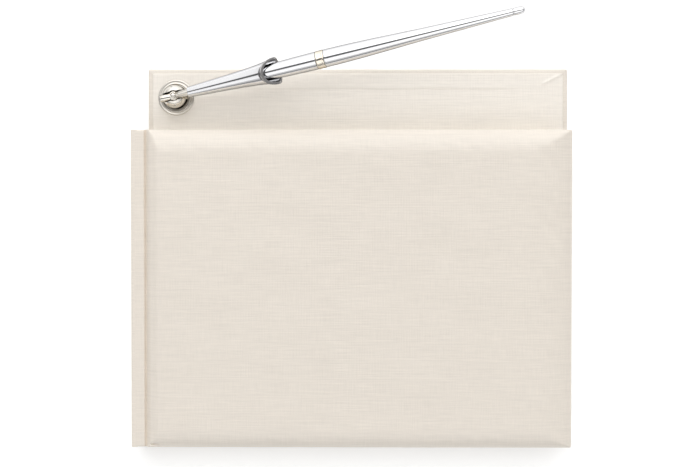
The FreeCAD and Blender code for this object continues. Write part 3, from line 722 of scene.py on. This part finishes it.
upper_low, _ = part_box("upper_signature_1")
_, upper_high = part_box("upper_signature_2")
turning = [
    ("upper_page_stack", upper_low, upper_high, 2 * SHEETS_IN_SIGNATURE, "upper_pages",
     ("upper_signature_1", "upper_signature_2"), PAGE_PAPER, "page_paper"),
    ("leaf_2_sheet", *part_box("leaf_2"), 1, "leaf_2", ("leaf_2",), PAGE_PAPER, "page_paper"),
    ("leaf_1_sheet", *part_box("leaf_1"), 1, "leaf_1", ("leaf_1",), PAGE_PAPER, "page_paper"),
    ("flyleaf_sheet", *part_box("flyleaf"), 1, "flyleaf", ("flyleaf",), ENDPAPER, "endpaper"),
]
for seed, (name, low, high, count, body, nodes, material, slot) in enumerate(turning, 31):
    pages = paper_stack(name, low, high, count, seed, bend=GUTTER_BEND)
    finished(pages, material, None, nodes)
    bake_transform(pages)

fly_low, fly_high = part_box("flyleaf")
GUARD = 0.03 * MM
GUARD_EAST, GUARD_TOP = HINGE.x + 0.15 * MM, paste_low.z - 2 * GUARD
guard_path = soften([(fly_low.x + 3 * MM, fly_high.z + GUARD), (GUARD_EAST, fly_high.z + GUARD),
                     (GUARD_EAST, GUARD_TOP), (paste_low.x + 4 * MM, GUARD_TOP)], 0.05 * MM, 4)
guard = ribbon("gutter_guard", [guard_path[::-1]], GUARD, [paste_low.y, paste_high.y], "y")
finished(guard, ENDPAPER)
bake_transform(guard)

BAND_TURNS, TURN_POINTS = 9, 6
for node, label in (("head_band", "head_band_bead"), ("tail_band", "tail_band_bead")):
    low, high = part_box(node)
    tall = high.z - low.z
    profile = [(0, 0)]
    for i in range(BAND_TURNS * TURN_POINTS + 1):
        swell = 0.5 - 0.5 * math.cos(2 * math.pi * i / TURN_POINTS)
        profile.append(((0.68 + 0.10 * swell) * MM, tall * i / (BAND_TURNS * TURN_POINTS)))
    profile.append((0, tall))
    centre = (low + high) / 2
    bead = lathe(label, profile, Matrix.Translation((centre.x, centre.y, low.z)), segments=20)
    finished(bead, BAND, "back_cover", (node,))


# ---------------------------------------------------------------- swivel

BALL = Vector(JOINTS["funnel_tilt"]["pos_m"])
AXIS = Vector(JOINTS["pen_slide"]["axis"]).normalized()
SIDE = Vector(JOINTS["funnel_tilt"]["axis"]).normalized()
UNDER = SIDE.cross(AXIS).normalized()
if UNDER.z > 0:
    UNDER = -UNDER
FUNNEL = Matrix.Translation(BALL) @ Matrix((UNDER, AXIS.cross(UNDER), AXIS)).transposed().to_4x4()
UPRIGHT = Matrix.Translation((SWIVEL.x, SWIVEL.y, 0)) @ Matrix.Rotation(math.atan2(AXIS.y, AXIS.x), 4, "Z")

dome_low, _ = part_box("swivel_dome")


def scaled(profile):
    """Turns a (radius, height) outline in millimetres into metres."""
    return [(radius * MM, height * MM) for radius, height in profile]


flange_z = flange_low.z / MM
flange_profile = soften([(1.7, flange_z), (9.4, flange_z), (9.4, flange_z + 0.45), (8.9, flange_z + 0.75),
                         (8.1, flange_z + 0.62), (7.9, flange_z + 1.3), (7.2, flange_z + 1.4),
                         (6.95, flange_z + 0.35), (6.45, flange_z + 0.35), (6.2, flange_z + 1.3),
                         (1.7, flange_z + 1.38)], 0.15, 4)
flange = lathe("flange_ring", scaled(flange_profile), UPRIGHT, closed=True)
finished(flange, SATIN_NICKEL, "back_cover", ("swivel_flange",))

DOME_RADIUS, DOME_RISE, DOME_FLOOR, DOME_WALL = 6.3, 5.0, 1.4, 3.8
dome_z = dome_low.z / MM
shoulder_z = dome_z + DOME_FLOOR + DOME_WALL
DOME_RINGS = 24
dome_profile = [(0, dome_z), (DOME_RADIUS - 0.3, dome_z), (DOME_RADIUS, dome_z + 0.3),
                (DOME_RADIUS, shoulder_z - 0.6)]
for i in range(1, DOME_RINGS):
    angle = math.pi / 2 * i / DOME_RINGS
    dome_profile.append((DOME_RADIUS * math.cos(angle), shoulder_z + DOME_RISE * math.sin(angle)))
dome_profile.append((0, shoulder_z + DOME_RISE))
dome = lathe("dome_cap", scaled(dome_profile), UPRIGHT, segments=128)


def cutter(profile):
    return lathe("cutter", scaled(profile), UPRIGHT, segments=64)


def box_cutter(length, width, low_z, high_z):
    half_l, half_w = length / 2 * MM, width / 2 * MM
    corners = [UPRIGHT @ Vector((a * half_l, b * half_w, z * MM)) for z in (low_z, high_z)
               for a, b in ((-1, -1), (1, -1), (1, 1), (-1, 1))]
    faces = [(0, 3, 2, 1), (4, 5, 6, 7), (0, 1, 5, 4), (1, 2, 6, 5), (2, 3, 7, 6), (3, 0, 4, 7)]
    return make_object("cutter", corners, faces, closed=True)


floor_z = dome_z + DOME_FLOOR
SLOT_WIDE, POCKET_RADIUS, RIVET_HOLE, CUT_THROUGH = 4.8, 2.9, 1.56, 30
for tool in (box_cutter(CUT_THROUGH, SLOT_WIDE, floor_z, CUT_THROUGH),
             cutter([(0, floor_z), (POCKET_RADIUS, floor_z), (POCKET_RADIUS, CUT_THROUGH), (0, CUT_THROUGH)]),
             cutter([(0, 1), (RIVET_HOLE, 1), (RIVET_HOLE, floor_z + 1), (0, floor_z + 1)])):
    cut = dome.modifiers.new("cut", "BOOLEAN")
    cut.operation = "DIFFERENCE"
    cut.solver = "EXACT"
    cut.object = tool
    baked(dome)
    bpy.data.objects.remove(tool)
bevel = dome.modifiers.new("bevel", "BEVEL")
bevel.width = 0.22 * MM
bevel.segments = 2
bevel.limit_method = "ANGLE"
bevel.angle_limit = math.radians(38)
baked(dome)
smooth(dome.data, 34)
finished(dome, NICKEL, "swivel_dome", ("swivel_dome",))

BALL_RADIUS, STEM_RADIUS, STEM_TAIL, STEM_SOCKET = 2.6, 1.9, 7.6, 11.5
BALL_RINGS = 56
RING_GROOVE, RING_WIDE, RING_DEEP = 1.85 * MM, 0.40 * MM, 1.0 * MM
RING_LOW, RING_REACH = 0.3 * MM, 2.55 * MM
neck = math.sqrt(BALL_RADIUS ** 2 - STEM_RADIUS ** 2)
stem_profile = soften([(0, -STEM_TAIL + 0.1), (1.2, -STEM_TAIL), (STEM_RADIUS, -STEM_TAIL + 0.5),
                       (STEM_RADIUS, -neck - 0.1)], 0.3, 4)
first = math.asin(STEM_RADIUS / BALL_RADIUS)
for i in range(BALL_RINGS + 1):
    angle = math.pi - first - (math.pi - 2 * first) * i / BALL_RINGS
    stem_profile.append((BALL_RADIUS * math.sin(angle), BALL_RADIUS * math.cos(angle)))
stem_profile += [(STEM_RADIUS, neck + 0.1), (STEM_RADIUS, STEM_SOCKET - 0.1), (0, STEM_SOCKET - 0.1)]
stem = lathe("ball_and_stem", scaled(stem_profile), FUNNEL, segments=160)
for vertex in stem.data.vertices:
    offset = vertex.co - BALL
    if offset.z > RING_LOW and abs(offset.dot(AXIS)) < RING_REACH:
        from_groove = (math.hypot(offset.x, offset.y) - RING_GROOVE) / RING_WIDE
        vertex.co -= offset.normalized() * RING_DEEP * math.exp(-from_groove ** 2)
smooth(stem.data, 60)
finished(stem, NICKEL, "funnel", ("ball_stem",))


# ---------------------------------------------------------------- funnel

FUNNEL_OUTLINE = [(2.7, 8.5), (5.3, 48.0), (5.9, 52.0), (6.4, 57.0), (6.5, 58.5), (6.6, 62.0)]
WALL, MOUTH, SLANT, ROLL = 0.5, 57.0, math.tan(math.radians(44)), math.radians(10)
RIM_OUT, RIM_IN, RIM_DEEP = 6.95, 5.7, 0.9
FUNNEL_START, FUNNEL_FOOT, BORE_FLOOR, BORE_HOLE, LOWER_SIDE = 8.5, 2.5, 13.0, 1.2, 0.8
outline = np.array(curve_through(FUNNEL_OUTLINE, 200))


def funnel_radius(s):
    return float(np.interp(s, outline[:, 1], outline[:, 0]))


def mouth_at(radius, angle):
    """Where the mouth's face lies along the funnel: slanted above, nearly square below."""
    reach = radius * math.cos(angle - ROLL) * SLANT
    return MOUTH + (reach if reach < 0 else LOWER_SIDE * (1 - math.exp(-reach / LOWER_SIDE)))


def cone_wall(angle, rows=60):
    """The cone's outside, from the stem to just below the mouth."""
    end = mouth_at(RIM_OUT, angle) - 2 * RIM_DEEP
    return [(STEM_RADIUS, FUNNEL_START), (FUNNEL_FOOT, FUNNEL_START)] + [
        (funnel_radius(s), s) for s in np.linspace(FUNNEL_START + 0.15, end, rows)]


def rolled_rim(angle):
    """The mouth's flared edge with its flat face."""
    outer, inner = mouth_at(RIM_OUT, angle), mouth_at(RIM_IN, angle)
    root = outer - 2 * RIM_DEEP
    below = outer - 1.6 * RIM_DEEP
    return [(funnel_radius(root), root)] + soften([
        (funnel_radius(below), below), (RIM_OUT, outer - 0.5 * RIM_DEEP), (RIM_OUT, outer), (RIM_IN, inner),
        (RIM_IN, inner - RIM_DEEP)], 0.25, 4)


def cone_bore(angle, rows=60):
    """The cone's inside, from the mouth down to the bore's floor."""
    inner = mouth_at(RIM_IN, angle)
    return [(RIM_IN, inner - RIM_DEEP)] + [
        (funnel_radius(s) - WALL, s) for s in np.linspace(inner - 2 * RIM_DEEP, BORE_FLOOR, rows)] + [
        (BORE_HOLE, BORE_FLOOR), (0.05, BORE_FLOOR)]


def funnel_shell(name, lines, segments=128):
    """Surfaces around the funnel's axis whose outline changes with the angle."""
    points, faces = [], []
    for line_at in lines:
        columns = []
        for i in range(segments):
            angle = 2 * math.pi * i / segments
            columns.append([FUNNEL @ Vector((r * MM * math.cos(angle), r * MM * math.sin(angle), s * MM))
                            for r, s in line_at(angle)])
        first, count = len(points), len(columns[0])
        points += [point for column in columns for point in column]
        for i in range(segments):
            here, there = first + i * count, first + (i + 1) % segments * count
            faces += [(here + k, there + k, there + k + 1, here + k + 1) for k in range(count - 1)]
    return make_object(name, points, faces, smooth_angle=45)


finished(funnel_shell("funnel_cone", (cone_wall, cone_bore)), SILVER, "funnel", ("funnel_cup",))
# The rim takes the darker silver: painted shade.
finished(funnel_shell("funnel_rim", (rolled_rim,)), SHADED_RIM_SILVER, "funnel", ("funnel_cup",))


# ---------------------------------------------------------------- pen

TAIL_RADIUS, BARREL_RADIUS, RING_START, RING_END = 4.55, 4.5, 79.0, 83.2
SEAM, BARREL_START, TAIL_END = 0.05, 24.1, 179.7
BARREL_OUTLINE = [(2.48, 24.0), (3.87, 46.0), (4.15, 58.0), (4.4, 70.0), (BARREL_RADIUS, RING_START - 0.5)]
barrel_profile = [(0, BARREL_START)] + curve_through(BARREL_OUTLINE, 60) + [
    (BARREL_RADIUS, RING_START - 0.25), (4.36, RING_START - 0.08), (2.6, RING_START - SEAM),
    (0, RING_START - SEAM)]
barrel = lathe("pen_front_barrel", scaled(barrel_profile), FUNNEL)
finished(barrel, SILVER, "pen", ("pen_barrel",))

RING_RADIUS, BEAD, RING_BORE = 4.7, 0.09, 0.35
RING_STEPS = [(BEAD, 0.25), (0, 0.7), (BEAD, 1.0)]
ring_profile = [(0, RING_START), (RING_RADIUS - RING_BORE, RING_START)]
ring_profile += [(RING_RADIUS - inset, RING_START + rise) for inset, rise in RING_STEPS]
ring_profile += [(RING_RADIUS - inset, RING_END - rise) for inset, rise in reversed(RING_STEPS)]
ring_profile += [(RING_RADIUS - RING_BORE, RING_END), (0, RING_END)]
ring = lathe("pen_trim_ring", scaled(soften(ring_profile, 0.15, 3)), FUNNEL)
finished(ring, GOLD, "pen", ("trim_ring",))

TAIL_TAPER = [(0.0, 1.0), (0.1, 0.98), (0.25, 0.9), (0.38, 0.8), (0.52, 0.69), (0.78, 0.54), (1.0, 0.4)]
TAIL_START = RING_END + 0.4
tail_line = curve_through([(TAIL_RADIUS * share, TAIL_START + (TAIL_END - TAIL_START) * along)
                           for along, share in TAIL_TAPER], 110)
tail_profile = [(0, RING_END + SEAM), (4.35, RING_END + SEAM), (4.5, RING_END + 0.2)]
tail_profile += tail_line + [(0, TAIL_END)]
finished(lathe("pen_long_tail", scaled(tail_profile), FUNNEL), SILVER, "pen", ("pen_tail",))

END_RADIUS = TAIL_RADIUS * TAIL_TAPER[-1][1]
END_STEPS = [(0, SEAM), (0.86, SEAM), (0.86, 0.5), (1.04, 0.6), (1.0, 3.6), (0.85, 5.2), (0.45, 5.95),
             (0, 6.0)]
end_profile = soften([(END_RADIUS * share, TAIL_END + rise) for share, rise in END_STEPS], 0.5, 5)
finished(lathe("pen_tail_cap", scaled(end_profile), FUNNEL), SILVER, "pen", ("tail_cap",))

for node, material in {
        "back_board": BOARD, "front_board": BOARD, "spine_board": BOARD, "hinge_strip": BOARD,
        "spine_lining": MULL, "pivot_rivet": STEEL, "rivet_washer": STEEL, "tilt_pin": STEEL,
        "funnel_liner": PLASTIC, "pen_tip": SILVER, "pen_refill": BRASS, "pen_bush": GOLD}.items():
    dressed(node, material)


# ---------------------------------------------------------------- floor, light and camera

FLOOR, FLOOR_GLOW = 12.0, 0.26
floor_mesh = bpy.data.meshes.new("floor")
floor_mesh.from_pydata([(-FLOOR, -FLOOR, 0), (FLOOR, -FLOOR, 0), (FLOOR, FLOOR, 0), (-FLOOR, FLOOR, 0)],
                       [], [(0, 1, 2, 3)])
floor = bpy.data.objects.new("floor", floor_mesh)
bpy.context.scene.collection.objects.link(floor)
paper_floor = Shader("floor", (0.93, 0.93, 0.93), 0.9, specular=0.0)
paper_floor.set("Emission Color", (1, 1, 1, 1))
paper_floor.set("Emission Strength", FLOOR_GLOW)
floor_mesh.materials.append(paper_floor.material)

# Brightness of the surroundings by direction: degrees from overhead towards the book's head.
SURROUNDINGS = [(-180, 0.40), (-88, 0.30), (-76, 0.14), (-70, 0.42), (-62, 0.44), (-52, 0.84), (-21, 0.88),
                (-15, 0.08), (2, 0.08), (9, 1.04), (60, 1.06), (84, 1.0), (180, 0.40)]
# The ramp holds them halved, since its colours stop at 1, and the strength doubles them again.
WORLD_STRENGTH, SIDE_FALL = 1.48, 0.8
world = bpy.data.worlds.new("surroundings")
bpy.context.scene.world = world
world.use_nodes = True
tree = world.node_tree
direction = add_node(tree, "ShaderNodeTexCoord").outputs["Generated"]
split = add_node(tree, "ShaderNodeSeparateXYZ", {0: direction}).outputs
bearing = add_node(tree, "ShaderNodeMath", {0: split["Y"], 1: split["Z"]}, operation="ARCTAN2").outputs[0]
turn = add_node(tree, "ShaderNodeMath", {0: bearing, 1: 1 / (2 * math.pi), 2: 0.5}, operation="MULTIPLY_ADD")
ramp = add_node(tree, "ShaderNodeValToRGB", {"Fac": turn.outputs[0]})
stops = ramp.color_ramp.elements
while len(stops) < len(SURROUNDINGS):
    stops.new(0.5)
for stop, (degrees, level) in zip(stops, SURROUNDINGS):
    stop.position = (degrees + 180) / 360
    stop.color = (level / 2, level / 2, level / 2, 1)
sideways = add_node(tree, "ShaderNodeMath", {0: split["X"], 1: split["X"]}, operation="MULTIPLY").outputs[0]
falling = add_node(tree, "ShaderNodeMath", {
    0: sideways, 1: -2 * WORLD_STRENGTH * SIDE_FALL, 2: 2 * WORLD_STRENGTH}, operation="MULTIPLY_ADD")
background = tree.nodes["Background"]
tree.links.new(ramp.outputs["Color"], background.inputs["Color"])
tree.links.new(falling.outputs[0], background.inputs["Strength"])


def area_light(name, location, target, size, power):
    data = bpy.data.lights.new(name, "AREA")
    data.shape = "RECTANGLE"
    data.size, data.size_y = size
    data.energy = power
    lamp = bpy.data.objects.new(name, data)
    lamp.location = location
    lamp.rotation_euler = (Vector(target) - Vector(location)).to_track_quat("-Z", "Y").to_euler()
    bpy.context.scene.collection.objects.link(lamp)


area_light("softbox", (-0.05, 0.95, 1.20), (0, 0, 0), (1.8, 1.2), 3.5)

camera_data = bpy.data.cameras.new("camera")
camera_data.lens = 59.63
camera_data.sensor_width = 36.0
camera = bpy.data.objects.new("camera", camera_data)
camera.location = (0.00242, 0.02402, 0.61970)
camera.rotation_euler = tuple(math.radians(angle) for angle in (-1.1206, 0.2911, 0.0178))
bpy.context.scene.collection.objects.link(camera)
bpy.context.scene.camera = camera
bpy.context.scene.view_settings.view_transform = "Standard"
